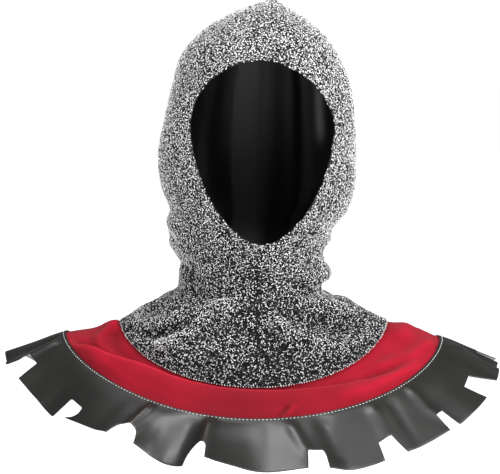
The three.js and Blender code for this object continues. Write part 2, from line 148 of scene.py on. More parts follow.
def knee(cosine):
    """How far the cloth has dropped from the shoulder line (0) to the middle of the front or back (1)."""
    rise = np.hypot(cosine, knee_softness) - knee_softness
    return rise / (math.hypot(1, knee_softness) - knee_softness)


def smooth_point(angle, distance):
    """Points of the garment before its folds. The angle is 0 in front and 90 at the left shoulder."""
    angle, distance = np.broadcast_arrays(np.asarray(angle, float), np.asarray(distance, float))
    ring = ring_at(distance)
    sine, cosine = np.sin(np.radians(angle)), np.cos(np.radians(angle))
    half = np.where(sine > 0, ring[..., 1], ring[..., 0])
    depth = np.where(cosine > 0, ring[..., 2], ring[..., 3])
    end_z = np.where(cosine > 0, ring[..., 7], ring[..., 8])
    over_breast = np.where((sine < 0) & (cosine > 0), (2 * sine * cosine) ** 2, 0)
    drawn = 1 - ring[..., 5] * over_breast
    x = ring[..., 4] + half * sine * drawn
    z = ring[..., 6] + (end_z - ring[..., 6]) * knee(cosine) * drawn
    return np.stack([x, -depth * cosine, z], -1)


def outward(angle, distance):
    """The outward direction of the smooth garment."""
    turn, step = 0.5, 0.5
    below = np.maximum(distance, 2 * step)
    across = smooth_point(angle + turn, below) - smooth_point(angle - turn, below)
    down = smooth_point(angle, below + step) - smooth_point(angle, below - step)
    normal = np.cross(down, across)
    return normal / np.linalg.norm(normal, axis=-1, keepdims=True)


def turn_between(start, end):
    """The shortest way round from one angle to another, in degrees."""
    return (end - start + 180) % 360 - 180


def bell(x, width):
    """A smooth bump that is 1 in its middle."""
    return np.exp(-(x / width) ** 2)


def ease(x, start, end):
    """A smooth step from 0 to 1."""
    t = np.clip((x - start) / (end - start), 0, 1)
    return t * t * (3 - 2 * t)


# Folds of the coif. Each runs along a few places, given by their angle and by how far they lie
# along the cloth from the neck.
coif_folds = [
    # height, half width, places along it
    (-2.8, 11.0, [(92, 22), (94, 46)]),
    (-0.9, 30.0, [(-90, -220), (-90, -70)]),
    (6.0, 8.0, [(-79, 76), (-66, 53), (-48, 33), (-30, 20), (-16, 11)]),
    (8.5, 7.5, [(-66, 77), (-50, 64), (-40, 47), (-31, 30), (-20, 15)]),
    (-5.0, 7.0, [(-72, 68), (-54, 49), (-38, 34), (-26, 23)]),
    (4.5, 10.0, [(-46, 76), (-30, 59), (-14, 47)]),
    (7.0, 8.0, [(10, 23), (20, 36), (34, 50), (48, 61), (62, 71)]),
    (-5.0, 7.0, [(14, 15), (28, 27), (46, 38), (66, 50)]),
    (4.0, 8.0, [(34, 12), (50, 18), (64, 26)]),
    (-7.0, 15.0, [(72, 8), (92, 5), (112, 8)]),
    (-4.5, 16.0, [(-72, 24), (-92, 21), (-112, 23)]),
    (3.2, 6.0, [(14, -35), (30, -25), (46, -15), (70, -14), (96, -17)]),
    (-2.2, 5.0, [(30, -9), (52, -2), (80, -2)]),
    (2.4, 6.0, [(-98, -46), (-70, -47), (-48, -38), (-34, -27)]),
    (2.4, 6.0, [(-92, -72), (-72, -68), (-56, -55)]),
    (-2.4, 5.0, [(-96, -26), (-72, -27), (-54, -18)]),
    (2.6, 7.0, [(50, -65), (66, -55), (90, -50)]),
    (-2.0, 6.0, [(56, -46), (76, -38), (100, -35)]),
    (5.0, 12.0, [(160, 15), (140, 42), (118, 68)]),
    (5.0, 12.0, [(-158, 15), (-138, 42), (-118, 68)]),
    (4.0, 12.0, [(180, 15), (176, 68)]),
    (3.0, 7.0, [(-120, -38), (-150, -27), (178, -30), (150, -27), (124, -35)]),
    (2.6, 6.0, [(-128, -9), (-156, -5), (176, -8), (146, -3)]),
]


def fold_lift(fold, angle, distance):
    """How far one fold lifts the cloth."""
    height, half_width, path = fold
    radius = ring_at(distance)[..., :4].mean(-1)
    nearest = np.full(angle.shape, 1e9)
    for (angle_a, below_a), (angle_b, below_b) in zip(path, path[1:]):
        x0 = np.radians(turn_between(angle, angle_a)) * radius
        x1 = x0 + np.radians(turn_between(angle_a, angle_b)) * radius
        y0, y1 = neck_line + below_a - distance, neck_line + below_b - distance
        length = np.maximum(np.hypot(x1 - x0, y1 - y0), 1e-6)
        share = np.clip(-(x0 * (x1 - x0) + y0 * (y1 - y0)) / length ** 2, 0, 1)
        nearest = np.minimum(nearest, np.hypot(x0 + (x1 - x0) * share, y0 + (y1 - y0) * share))
    return height * bell(nearest, half_width)


seam_groove, seam_width, seam_swell = 0.7, 1.0, 3.0


def coif_lift(angle, distance):
    """All the folds of the coif, faded out where it is sewn to the mantle, and its centre seam."""
    lift = sum(fold_lift(fold, angle, distance) for fold in coif_folds)
    lift = lift * (1 - ease(distance, bib_edge - 16, bib_edge - 4)) * ease(distance, 60, 120)
    round_front = np.radians(angle) * ring_at(distance)[..., :2].mean(-1)
    round_back = np.radians(turn_between(180, angle)) * ring_at(distance)[..., :2].mean(-1)
    from_seam = np.minimum(np.abs(round_front), np.abs(round_back))
    groove = seam_groove * bell(from_seam, seam_width)
    swell = 0.5 * seam_groove * bell(from_seam - seam_swell, seam_width * 1.4)
    return lift + (swell - groove) * ease(distance, 2, 14)


def standing(lift, angle, distance, reach):
    """How far the cloth stands above the cloth a little way off, or sinks below it."""
    turn = np.degrees(reach / ring_at(distance)[..., :4].mean(-1))
    around = [lift(angle + turn, distance), lift(angle - turn, distance),
              lift(angle, distance + reach), lift(angle, distance - reach)]
    return lift(angle, distance) - sum(around) / 4


# The face opening is an egg, seen from the front, with its point at the chin.
face_width, face_height, face_drop, face_shift, face_widest = 138, 176, 60, 5, 0.36
pointed_rise, pointed_width = 1.7, 0.57


def face_outline(margin, count):
    """The opening's outline as (x, z) points, grown by a margin."""
    half = face_width / 2 + margin
    above = face_height * face_widest + margin
    below = face_height * (1 - face_widest) + margin
    widest_z = crown_height - face_drop - face_height * face_widest
    turns = np.arange(count) * 2 * math.pi / count
    sine, cosine = np.sin(turns), np.cos(turns)
    rise = np.abs(sine)
    pointed = (1 - rise ** pointed_rise) ** pointed_width
    plain = np.sqrt(1 - rise ** 2)
    share = np.where((sine > 0) & (cosine < 0), plain, pointed)
    x = face_shift + np.sign(cosine) * half * share
    z = widest_z + np.where(sine > 0, above, below) * sine
    return x, z


def places_of(x, z):
    """The angle and distance of front points given by where they are seen from the front."""
    half_face, tries, step = 95, 12, 0.05
    angle = np.degrees(np.arcsin(np.clip(x / half_face, -0.95, 0.95)))
    middle = np.linspace(20, bib_edge, 400)
    distance = np.interp(-z, -smooth_point(0, middle)[:, 2], middle)
    for _ in range(tries):
        here = smooth_point(angle, distance)
        by_angle = (smooth_point(angle + step, distance) - here) / step
        by_distance = (smooth_point(angle, distance + step) - here) / step
        miss_x, miss_z = x - here[:, 0], z - here[:, 2]
        scale = by_angle[:, 0] * by_distance[:, 2] - by_distance[:, 0] * by_angle[:, 2]
        angle = angle + (miss_x * by_distance[:, 2] - miss_z * by_distance[:, 0]) / scale
        distance = distance + (miss_z * by_angle[:, 0] - miss_x * by_angle[:, 2]) / scale
    return angle, distance


def evened(loop, spacing):
    """A closed loop of plane points, spaced evenly."""
    closed = np.vstack([loop, loop[:1]])
    length = np.concatenate([[0], np.cumsum(np.hypot(*np.diff(closed, axis=0).T))])
    count = int(length[-1] / spacing)
    stops = np.arange(count) * length[-1] / count
    return np.stack([np.interp(stops, length, closed[:, 0]), np.interp(stops, length, closed[:, 1])], -1)


def gap_to(path, points, closed=True):
    """The distance of plane points to a path."""
    starts = path if closed else path[:-1]
    ends = np.roll(path, -1, axis=0) if closed else path[1:]
    nearest = np.full(len(points), 1e9)
    for a, b in zip(starts, ends):
        run = b - a
        share = np.clip(((points - a) @ run) / max(run @ run, 1e-12), 0, 1)
        nearest = np.minimum(nearest, np.hypot(*(points - a - share[:, None] * run).T))
    return nearest


def inside(loop, points):
    """Whether plane points lie inside a closed loop."""
    found = np.zeros(len(points), bool)
    for (xa, ya), (xb, yb) in zip(loop, np.roll(loop, -1, axis=0)):
        if ya == yb:
            continue
        crosses = (ya > points[:, 1]) != (yb > points[:, 1])
        found ^= crosses & (points[:, 0] < xa + (points[:, 1] - ya) * (xb - xa) / (yb - ya))
    return found


def square_to(run):
    """Unit steps at right angles to the steps of a path."""
    return np.stack([run[:, 1], -run[:, 0]], -1) / np.hypot(*run.T)[:, None]


def rows_of(across, stops):
    """Plane points in straight rows, one at each stop."""
    return np.stack(np.meshgrid(across, stops), -1).reshape(-1, 2)


def meshed(points, edges):
    """Triangles through plane points that keep the given edges."""
    corners, _, faces, _, _, _ = delaunay_2d_cdt([tuple(p) for p in points], edges, [], 0, 1e-6)
    return np.array(corners), np.array([f for f in faces if len(f) == 3])


def in_scene(name, data):
    """A new object in the scene, for a mesh, a lamp or a camera."""
    made = bpy.data.objects.new(name, data)
    bpy.context.scene.collection.objects.link(made)
    return made


def mesh_object(name, points, faces, uv):
    """A smooth mesh object from points in millimetres."""
    mesh = bpy.data.meshes.new(name)
    mesh.from_pydata((np.asarray(points) * 0.001).tolist(), [], np.asarray(faces).tolist())
    layer = mesh.uv_layers.new(name="cloth")
    corner = np.empty(len(mesh.loops), int)
    mesh.loops.foreach_get("vertex_index", corner)
    layer.data.foreach_set("uv", (np.asarray(uv)[corner] * 0.001).ravel())
    mesh.polygons.foreach_set("use_smooth", [True] * len(mesh.polygons))
    mesh.update()
    return in_scene(name, mesh)


# Points lie in close rows next to an edge, where the cloth rounds over.
edge_rows = np.array([0.12, 0.45, 0.9, 1.6])


def closed_cloth(name, plane, faces, per_degree, height, wall, lift, edge_gap, fuzz=0.0):
    """A closed sheet from its plane mesh: two layers that meet in a rounded edge where edge_gap is 0.

    The plane holds degrees times per_degree, and the distance along the cloth. Fuzz roughens the outside.
    """
    angle, distance = plane[:, 0] / per_degree, plane[:, 1]
    rounded = np.sqrt(1 - np.clip(1 - edge_gap / (wall / 2), 0, 1) ** 2)
    base, normal = smooth_point(angle, distance), outward(angle, distance)
    raised = height + lift(angle, distance)
    rough = fuzz * np.random.default_rng(3).uniform(-1, 1, len(plane)) * ease(edge_gap, 0.5, 2.0)
    rough[np.abs(np.abs(angle) - 180) < 1e-6] = 0
    top = base + normal * (raised + rounded * wall / 2 + rough)[:, None]
    under = base + normal * (raised - rounded * wall / 2)[:, None]
    count = len(plane)
    rim = edge_gap < 1e-5
    lower = np.where(rim, np.arange(count), np.arange(count) + count)
    points = np.vstack([top, under])
    both = np.vstack([faces, lower[faces][:, ::-1]])
    # the two sides of the cut at the back and the many corners at the crown's tip become one
    key = np.round(points, 3)
    _, first, same = np.unique(key, axis=0, return_index=True, return_inverse=True)
    both = same.reshape(-1)[both]
    whole = (both[:, 0] != both[:, 1]) & (both[:, 1] != both[:, 2]) & (both[:, 2] != both[:, 0])
    both = both[whole]
    used, both = np.unique(both, return_inverse=True)
    both = both.reshape(-1, 3)
    chosen = first[used]
    around = np.concatenate([plane, plane])[chosen]
    piece = mesh_object(name, points[chosen], both, around)
    outside = np.where(chosen < count, np.concatenate([edge_gap, edge_gap])[chosen] > 0.3, False)
    return piece, around[:, 0] / per_degree, around[:, 1], outside


def keep_on(piece, name, values):
    """Keeps a value on each point of a piece, for its material or its nodes to read."""
    layer = piece.data.attributes.new(name, "FLOAT", "POINT")
    layer.data.foreach_set("value", np.asarray(values, float))


def ring_points(stops, per_degree, spacing):
    """Plane points in rows round the garment, closer together where it is narrow."""
    rows = []
    for stop in stops:
        around = 2 * math.pi * ring_at(stop)[:4].mean()
        count = max(2 * int(around / spacing / 2), 16)
        rows.append(rows_of(np.linspace(-180, 180, count + 1) * per_degree, [stop]))
    return np.vstack(rows)


def head_cloth(name, hole_margin, end, spacing, height, wall, lift, hole_lift=None, fuzz=0.0):
    """A sheet over the head with the face opening cut out, from the crown to an end distance."""
    per_degree = 1.7
    hole_angle, hole_distance = places_of(*face_outline(hole_margin, 720))
    hole = evened(np.stack([hole_angle * per_degree, hole_distance], -1), spacing * 0.6)
    stops = np.concatenate([np.arange(1.5, end - 4, spacing), [end - 3.0], end - edge_rows[::-1]])
    grid = ring_points(stops, per_degree, spacing)
    gap = gap_to(hole, grid)
    grid = grid[~inside(hole, grid) & (gap > 7)]
    away = square_to(np.roll(hole, -1, axis=0) - np.roll(hole, 1, axis=0))
    if inside(hole, hole + away * 0.5).mean() > 0.5:
        away = -away
    bands = [hole + away * offset for offset in (*edge_rows, 2.6, 3.8, 5.2)]
    last = ring_points([end], per_degree, spacing)
    tip = np.array([[-180 * per_degree, 0.0], [180 * per_degree, 0.0]])
    points = np.vstack([hole, last, tip, *bands, grid])
    edges = [(k, (k + 1) % len(hole)) for k in range(len(hole))]
    edges += [(len(hole) + k, len(hole) + k + 1) for k in range(len(last) - 1)]
    plane, faces = meshed(points, edges)
    faces = faces[~inside(hole, plane[faces].mean(1))]
    gap = gap_to(hole, plane)
    edge_gap = np.minimum(gap, end - plane[:, 1])
    edge_gap[edge_gap < 1e-4] = 0

    def whole_lift(angle, distance):
        return lift(angle, distance) + (hole_lift(gap) if hole_lift else 0)

    return closed_cloth(name, plane, faces, per_degree, height, wall, whole_lift, edge_gap, fuzz)


hem_width, hem_raise, hem_groove = 8.0, 0.5, 0.45
knit_spacing, knit_fuzz = 2.8, 0.25


def face_hem(gap):
    """The turned-in hem round the face opening, with the dent of its seam."""
    raised = hem_raise * (1 - ease(gap, hem_width - 1.5, hem_width + 1.5))
    return raised - hem_groove * bell(gap - hem_width, 1.0)


coif, coif_angle, coif_distance, coif_outside = head_cloth(
    "knit_coif", 0, bib_edge, knit_spacing, 0, knit_wall, coif_lift, face_hem, knit_fuzz)

# The knit is made less silver on the bib and in the hollows of its folds, and more silver on their crests:
# painted shade on the bib and in the fold hollows, painted highlight on the crests.
front_share = np.clip(np.cos(np.radians(coif_angle)), 0, 1)
painted_knit_shade = ease(coif_distance, neck_line - 90, bib_edge - 5) * (0.5 + 0.5 * front_share)
folded = np.clip(coif_lift(coif_angle, coif_distance), -2.5, 9) * ease(coif_distance, 120, 200)
painted_knit_shade = painted_knit_shade - 0.09 * folded
keep_on(coif, "painted_knit_shade", painted_knit_shade)
# fewer silver loops grow where the painted knit shade is high, so the loops carry that painted shade too
keep_on(coif, "silver_loops", np.clip(0.92 - 0.42 * painted_knit_shade, 0.2, 1) * coif_outside)


def set_on(node, **values):
    """Sets a node's properties, and its inputs by name or as _0 by number. A socket is linked."""
    for key, value in values.items():
        if hasattr(node, key) and key not in node.inputs:
            setattr(node, key, value)
            continue
        socket = node.inputs[int(key[1:]) if key[0] == "_" else key.replace("_", " ")]
        if isinstance(value, bpy.types.NodeSocket):
            node.id_data.links.new(value, socket)
        else:
            socket.default_value = value
    return node


def node_of(nodes, kind, **values):
    """A new node of a kind, set up as set_on does."""
    return set_on(nodes.new(kind), **values)


def new_material(name, **finish):
    """A material with its nodes and its shader, whose finish is given by input."""
    material = bpy.data.materials.new(name)
    material.use_nodes = True
    nodes = material.node_tree.nodes
    return material, nodes, set_on(nodes["Principled BSDF"], **finish)


def kept(nodes, name):
    """A value that keep_on left on the piece."""
    return node_of(nodes, "ShaderNodeAttribute", attribute_name=name).outputs["Fac"]


def toned(nodes, value, dark, light, low=0.0, high=1.0):
    """A colour that goes from dark to light while a value goes from low to high."""
    tone = node_of(nodes, "ShaderNodeValToRGB", Fac=value)
    for stop, place, colour in zip(tone.color_ramp.elements, (low, high), (dark, light)):
        stop.position, stop.color = place, (*colour, 1)
    return tone.outputs["Color"]


def embossed(nodes, shader, pattern, strength, depth):
    """Lets a pattern stand out of a shader's surface."""
    bump = node_of(nodes, "ShaderNodeBump", Strength=strength, Distance=depth, Height=pattern)
    set_on(shader, Normal=bump.outputs["Normal"])


def glitter_knit(name, worm_size, break_size):
    """Wriggling silver loops on black yarn, each a little different in brightness."""
    material, nodes, shader = new_material(name, Roughness=0.6, Specular_IOR_Level=0.03)
    place = nodes.new("ShaderNodeTexCoord").outputs["Object"]

    def noise(size, detail, distortion):
        made = node_of(nodes, "ShaderNodeTexNoise", Vector=place, Scale=1 / size, Detail=detail,
                       Distortion=distortion)
        return made.outputs["Fac"]

    def maths(operation, *values):
        numbered = {f"_{k}": value for k, value in enumerate(values)}
        return node_of(nodes, "ShaderNodeMath", operation=operation, **numbered).outputs["Value"]

    worms = maths("MULTIPLY", maths("SINE", maths("MULTIPLY", noise(worm_size, 1.0, 0.4), 27.0)), 0.5)
    broken = maths("MULTIPLY_ADD", noise(break_size, 0.0, 0.0), 3.4, -1.7)
    # more black yarn shows everywhere, and still more where the painted knit shade is high
    bare_and_shaded = maths("MULTIPLY_ADD", kept(nodes, "painted_knit_shade"), -0.3, -0.4)
    shown_yarn = maths("ADD", maths("ADD", worms, broken), bare_and_shaded)
    silver = node_of(nodes, "ShaderNodeMapRange", Value=shown_yarn, From_Min=-0.12, From_Max=0.22)
    flakes = node_of(nodes, "ShaderNodeTexVoronoi", Vector=place, Scale=0.6 / break_size)
    flake = node_of(nodes, "ShaderNodeSeparateColor", Color=flakes.outputs["Color"])
    tone = toned(nodes, flake.outputs["Red"], (0.015, 0.015, 0.016), (0.13, 0.13, 0.135))
    colour = node_of(nodes, "ShaderNodeMix", data_type="RGBA", Factor=silver.outputs["Result"],
                     A=(0.003, 0.003, 0.0035, 1), B=tone)
    set_on(shader, Base_Color=colour.outputs["Result"])
    embossed(nodes, shader, silver.outputs["Result"], 0.6, 0.0006)
    return material


coif.data.materials.append(glitter_knit("silver_and_black_knit", worm_size=0.0030, break_size=0.0011))
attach(coif, "root")
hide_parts("knit_panel_right", "knit_panel_left")

# The lurex yarn stands proud of the black one in thousands of tiny silver loops, each a short
# bent thread that lies any way round. They are made a quarter of the coif at a time.
loop_spacing, loop_length, loop_thickness = 1.42, 1.9, 0.64
loop_bend, loop_tilt, loops_per_square_metre = 140, 0.3, 760000.0


def silver_thread(name):
    """Bright metallic thread, different from loop to loop, and darker under the painted knit shade on the bib
    and in the hollows of the folds.
    """
    material, nodes, shader = new_material(name, Metallic=0.1, Roughness=0.35)
    tone = toned(nodes, kept(nodes, "shade"), (0.62, 0.62, 0.63), (1.0, 1.0, 1.0))
    thread_with_painted_shade = node_of(nodes, "ShaderNodeMix", data_type="RGBA", blend_type="MULTIPLY",
                     Factor=kept(nodes, "painted_knit_shade"), A=tone, B=(0.73, 0.73, 0.74, 1))
    set_on(shader, Base_Color=thread_with_painted_shade.outputs["Result"])
    return material


def new_tree(name, **kinds):
    """A node tree's named inputs, a function that adds a node to it, and one that ends it."""
    tree = bpy.data.node_groups.new(name, "GeometryNodeTree")
    tree.interface.new_socket("Geometry", in_out="INPUT", socket_type="NodeSocketGeometry")
    for label, kind in kinds.items():
        tree.interface.new_socket(label, in_out="INPUT", socket_type="NodeSocket" + kind)
    tree.interface.new_socket("Geometry", in_out="OUTPUT", socket_type="NodeSocketGeometry")
    given = tree.nodes.new("NodeGroupInput").outputs

    def made(kind, **values):
        return node_of(tree.nodes, kind, **values).outputs

    def ended(instances):
        real = made("GeometryNodeRealizeInstances", Geometry=instances)
        dyed = made("GeometryNodeSetMaterial", Geometry=real["Geometry"], Material=given["Thread"])
        node_of(tree.nodes, "NodeGroupOutput", Geometry=dyed["Geometry"])
        return tree

    return given, made, ended


def grown_on(name, carrier, tree, **values):
    """A plain mesh made by a node group from a carrier object, which it replaces."""
    modifier = carrier.modifiers.new(name, "NODES")
    modifier.node_group = tree
    for item in tree.interface.items_tree:
        if item.item_type == "SOCKET" and item.in_out == "INPUT" and item.name in values:
            modifier[item.identifier] = values[item.name]
    seen = carrier.evaluated_get(bpy.context.evaluated_depsgraph_get())
    mesh = bpy.data.meshes.new_from_object(seen)
    carrier.modifiers.clear()
    carrier.data, carrier.name, mesh.name = mesh, name, name
    mesh.polygons.foreach_set("use_smooth", [True] * len(mesh.polygons))
    return carrier


def loop_nodes():
    """Bent threads scattered over the faces whose silver_loops value is more than nothing."""
    given, made, ended = new_tree("silver_loop_nodes", Spacing="Float", Density="Float", Length="Float",
                                  Thickness="Float", Side="Float", Depth="Float", Seed="Int", Thread="Material")
    share = made("GeometryNodeInputNamedAttribute", data_type="FLOAT", Name="silver_loops")
    parts = made("ShaderNodeSeparateXYZ", Vector=made("GeometryNodeInputPosition")["Position"])
    on_side = []
    for axis, way in (("X", "Side"), ("Y", "Depth")):
        sided = made("ShaderNodeMath", operation="MULTIPLY", _0=parts[axis], _1=given[way])
        on_side.append(made("FunctionNodeCompare", operation="GREATER_THAN", _0=sided["Value"])["Result"])
    in_quarter = made("FunctionNodeBooleanMath", operation="AND", _0=on_side[0], _1=on_side[1])
    spread = made("GeometryNodeDistributePointsOnFaces", distribute_method="POISSON",
                  Mesh=given["Geometry"], Selection=in_quarter["Boolean"], Distance_Min=given["Spacing"],
                  Density_Max=given["Density"], Density_Factor=share["Attribute"], Seed=given["Seed"])
    half = made("ShaderNodeMath", operation="MULTIPLY", _0=given["Length"], _1=0.5)
    bend = made("GeometryNodeCurveArc", mode="RADIUS", Resolution=3, Radius=half["Value"],
                Start_Angle=math.radians(90 - loop_bend / 2), Sweep_Angle=math.radians(loop_bend))
    round_thread = made("GeometryNodeCurvePrimitiveCircle", Resolution=3, Radius=given["Thickness"])
    thread = made("GeometryNodeCurveToMesh", Curve=bend["Curve"], Profile_Curve=round_thread["Curve"])
    turn = made("FunctionNodeRandomValue", data_type="FLOAT_VECTOR", _0=(-loop_tilt, -loop_tilt, 0),
                _1=(loop_tilt, loop_tilt, 2 * math.pi), Seed=given["Seed"])
    turned = made("FunctionNodeEulerToRotation", Euler=turn[0])
    laid = made("FunctionNodeRotateRotation", rotation_space="LOCAL", Rotation=spread["Rotation"],
                Rotate_By=turned["Rotation"])
    size = made("FunctionNodeRandomValue", data_type="FLOAT", _2=0.7, _3=1.15, Seed=given["Seed"])
    placed = made("GeometryNodeInstanceOnPoints", Points=spread["Points"], Instance=thread["Mesh"],
                  Rotation=laid["Rotation"], Scale=size[1])
    shade = made("FunctionNodeRandomValue", data_type="FLOAT", Seed=5)
    shaded = made("GeometryNodeStoreNamedAttribute", data_type="FLOAT", domain="INSTANCE", Name="shade",
                  Geometry=placed["Instances"], Value=shade[1])
    return ended(shaded["Geometry"])


lurex, loop_tree = silver_thread("silver_lurex"), loop_nodes()
quarters = {"right_front": (1.0, -1.0), "left_front": (-1.0, -1.0),
            "right_back": (1.0, 1.0), "left_back": (-1.0, 1.0)}
for quarter, (side, depth) in quarters.items():
    loops = grown_on("silver_loops_" + quarter, in_scene("carrier", coif.data), loop_tree,
                     Spacing=loop_spacing / 1000, Density=loops_per_square_metre, Length=loop_length / 1000,
                     Thickness=loop_thickness / 2000, Side=side, Depth=depth, Seed=11, Thread=lurex)
    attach(loops, "root")

# The lining is a thin black jersey that follows the inside of the head. It is sewn in a little
# behind the hem of the face opening and hangs in soft upright folds at the back.
lining_slack, lining_set_back, lining_spacing = 0.2, 9, 4.0
lining_height = -(knit_wall / 2 + layer_gap + lining_wall / 2) - lining_slack
lining_folds = [
    # angle, inward height, half width in degrees
    (-174, 4.0, 9.0),
    (172, -2.5, 7.0),
    (148, 3.0, 4.0),
    (156, -1.5, 3.0),
    (-146, 2.0, 6.0),
]


def lining_lift(angle, distance):
    """The folds of the lining, which also goes in wherever the coif does."""
    fade = ease(distance, 50, 110) * (1 - ease(distance, neck_line - 60, neck_line - 10))
    wave = sum(height * bell(turn_between(angle, centre), width) for centre, height, width in lining_folds)
    return np.minimum(coif_lift(angle, distance), 0) - np.maximum(wave + 2.5, 0) * fade


lining, lining_angle, lining_distance, _ = head_cloth(
    "hood_lining_cloth", lining_set_back, neck_line, lining_spacing, lining_height, lining_wall,
    lining_lift)
# The pulled value paints sheen on the lining: a broad upright band at the back and a narrow one at the side are
# made paler.
at_back, at_side = turn_between(lining_angle, 186), turn_between(lining_angle, 135)
painted_sheen_back = 0.32 * ease(at_back, -12.5, -10.5) * (1 - ease(at_back, 4, 18)) * ease(lining_distance, 60, 120)
painted_sheen_side = bell(at_side, 3.5) * ease(lining_distance, 115, 150) * (1 - ease(lining_distance, 178, 205))
keep_on(lining, "pulled", np.clip(painted_sheen_back + painted_sheen_side, 0, 1))


def on_cloth(nodes, pattern, **values):
    """The outputs of a pattern that lies on the flat cloth."""
    surface = node_of(nodes, "ShaderNodeUVMap", uv_map="cloth").outputs["UV"]
    return node_of(nodes, "ShaderNodeTex" + pattern, Vector=surface, **values).outputs


def black_jersey():
    """Black jersey with fine wales, made paler by painted sheen where the pulled value is high."""
    material, nodes, shader = new_material("black_jersey_cloth", Roughness=0.5, Specular_IOR_Level=0.3)
    # painted sheen: the lining is paler where the pulled value is high
    tone = toned(nodes, kept(nodes, "pulled"), (0.0025, 0.0025, 0.0025), (0.125, 0.123, 0.120))
    set_on(shader, Base_Color=tone)
    wales = on_cloth(nodes, "Wave", Scale=700.0, Distortion=0.6, Detail=1.0)
    embossed(nodes, shader, wales["Fac"], 0.25, 0.0003)
    return material


lining.data.materials.append(black_jersey())
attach(lining, "root")
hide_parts("hood_lining")

# The mantle is a ring of red satin, sewn under the edge of the knit and under the strip. It is
# cut fuller than it needs to be, so a roll stands up round the front and fades over the shoulders.
mantle_wall, knit_lap, trim_lap = 1.5, 9, 7
mantle_spacing, mantle_per_degree = 1.6, 2.9
mantle_painted_shade, mantle_reach = 0.24, 5
mantle_height = -(knit_wall / 2 + layer_gap + mantle_wall / 2)
roll_crest = np.array([
    # angle, reach of the crest from the bib's edge (0) to the strip (1), height
    (-104, 1.0, 0.5), (-92, 0.97, 2.0), (-80, 0.92, 6.0), (-69, 0.69, 10.0), (-57, 0.51, 12.0),
    (-45, 0.34, 12.5), (-32, 0.29, 11.5), (-15, 0.24, 10.0), (1, 0.23, 9.0), (12, 0.25, 8.0),
    (23, 0.31, 7.0), (33, 0.41, 5.5), (45, 0.52, 4.0), (54, 0.63, 3.0), (68, 0.64, 1.0),
    (90, 0.6, 1.0), (140, 0.45, 5.0), (190, 0.5, 5.5), (232, 0.6, 4.5),
])
roll_rise, roll_fall, roll_hollow = 0.065, 0.36, 0.2
mantle_folds = [
    # height, half width, places along it
    (4.0, 12.0, [(78, 93), (96, 97)]),
    (3.0, 9.0, [(54, 99), (66, 113), (78, 122)]),
    (2.6, 8.0, [(30, 112), (48, 117), (60, 126)]),
    (-2.0, 7.0, [(44, 101), (60, 112), (72, 122)]),
    (4.0, 10.0, [(-84, 80), (-96, 88)]),
    (2.5, 6.0, [(-84, 84), (-78, 99), (-66, 108)]),
    (-2.5, 6.0, [(-76, 85), (-66, 91), (-54, 91)]),
    (-1.4, 2.6, [(9.5, 114), (6.5, 124), (4.5, 132)]),
    (1.2, 4.0, [(12, 114), (9, 126)]),
]
seam_lift = np.array([
    # angle, how far the seam of mantle and strip is lifted
    (-120, 0.0), (-104, 2.0), (-92, 3.0), (-80, 1.0), (-68, 0.0), (60, 0.0), (76, -1.0), (88, -2.5),
    (100, -1.5), (120, 0.0),
])


def round_rows(table, angle):
    """The values of a table's rows at an angle, on a smooth curve that closes round the garment."""
    stops = np.concatenate([table[-2:, 0] - 360, table[:, 0], table[:2, 0] + 360])
    rows = np.vstack([table[-2:, 1:], table[:, 1:], table[:2, 1:]])
    low = table[0, 0]
    return curve_through(stops, rows, (np.asarray(angle, float) - low) % 360 + low)


def mantle_lift(angle, distance):
    """The roll, steep on its inner side, and the soft folds over the shoulders."""
    reach = (distance - bib_edge) / (mantle_edge - bib_edge)
    crest, height = np.moveaxis(round_rows(roll_crest, angle), -1, 0)
    away = reach - crest
    roll = height * np.where(away < 0, bell(away, roll_rise), bell(away, roll_fall))
    roll = roll - roll_hollow * height * bell(away + 2.6 * roll_rise, 1.1 * roll_rise)
    folds = sum(fold_lift(fold, angle, distance) for fold in mantle_folds)
    seam = round_rows(seam_lift, angle)[..., 0] * ease(reach, 0.3, 0.95)
    return (roll + folds) * ease(reach, 0, 0.07) * (1 - ease(reach, 0.68, 0.9)) + seam


def ring_cloth(name, start, end, spacing, per_degree, height, wall, lift):
    """A sheet that runs right round the garment between two distances."""
    between = np.arange(start + 3, end - 2.5, spacing)
    stops = np.concatenate([start + edge_rows, between, end - edge_rows[::-1]])
    count = 2 * int(360 * per_degree / spacing / 2)
    across = np.linspace(-180, 180, count + 1) * per_degree
    rows = np.concatenate([[start], stops, [end]])
    plane = rows_of(across, rows)
    width = len(across)
    faces = []
    for row in range(len(rows) - 1):
        first = row * width + np.arange(width - 1)
        faces.append(np.stack([first, first + 1, first + width + 1], -1))
        faces.append(np.stack([first, first + width + 1, first + width], -1))
    edge_gap = np.minimum(plane[:, 1] - start, end - plane[:, 1])
    return closed_cloth(name, plane, np.vstack(faces), per_degree, height, wall, lift, edge_gap)


mantle, mantle_angle, mantle_distance, _ = ring_cloth(
    "red_mantle_cloth", bib_edge - knit_lap, mantle_edge, mantle_spacing, mantle_per_degree,
    mantle_height, mantle_wall, mantle_lift)
# The crest value paints light and shade on the satin: shade in the hollows of the folds and highlight on their
# crests, a painted shadow along the knit's edge, painted shade over the middle of the front and a painted
# highlight over the shoulder near angle 62.
crest = 0.5 + mantle_painted_shade * standing(mantle_lift, mantle_angle, mantle_distance, mantle_reach)
crest = crest - 0.3 * (1 - ease(mantle_distance, bib_edge + 1, bib_edge + 6))
crest = crest - 0.28 * bell(turn_between(mantle_angle, -4), 28)
crest = crest + 0.12 * bell(turn_between(mantle_angle, 62), 22)
keep_on(mantle, "crest", np.clip(crest, 0, 1))


def painted_fold_shade(nodes, colour, in_hollows, on_crests):
    """A colour made darker in the hollows of the cloth and lighter on its crests: painted shade and painted
    highlight.
    """
    share = node_of(nodes, "ShaderNodeMapRange", Value=kept(nodes, "crest"), To_Min=in_hollows,
                    To_Max=on_crests)
    scaled = node_of(nodes, "ShaderNodeVectorMath", operation="SCALE", _0=colour,
                     Scale=share.outputs["Result"])
    return scaled.outputs["Vector"]


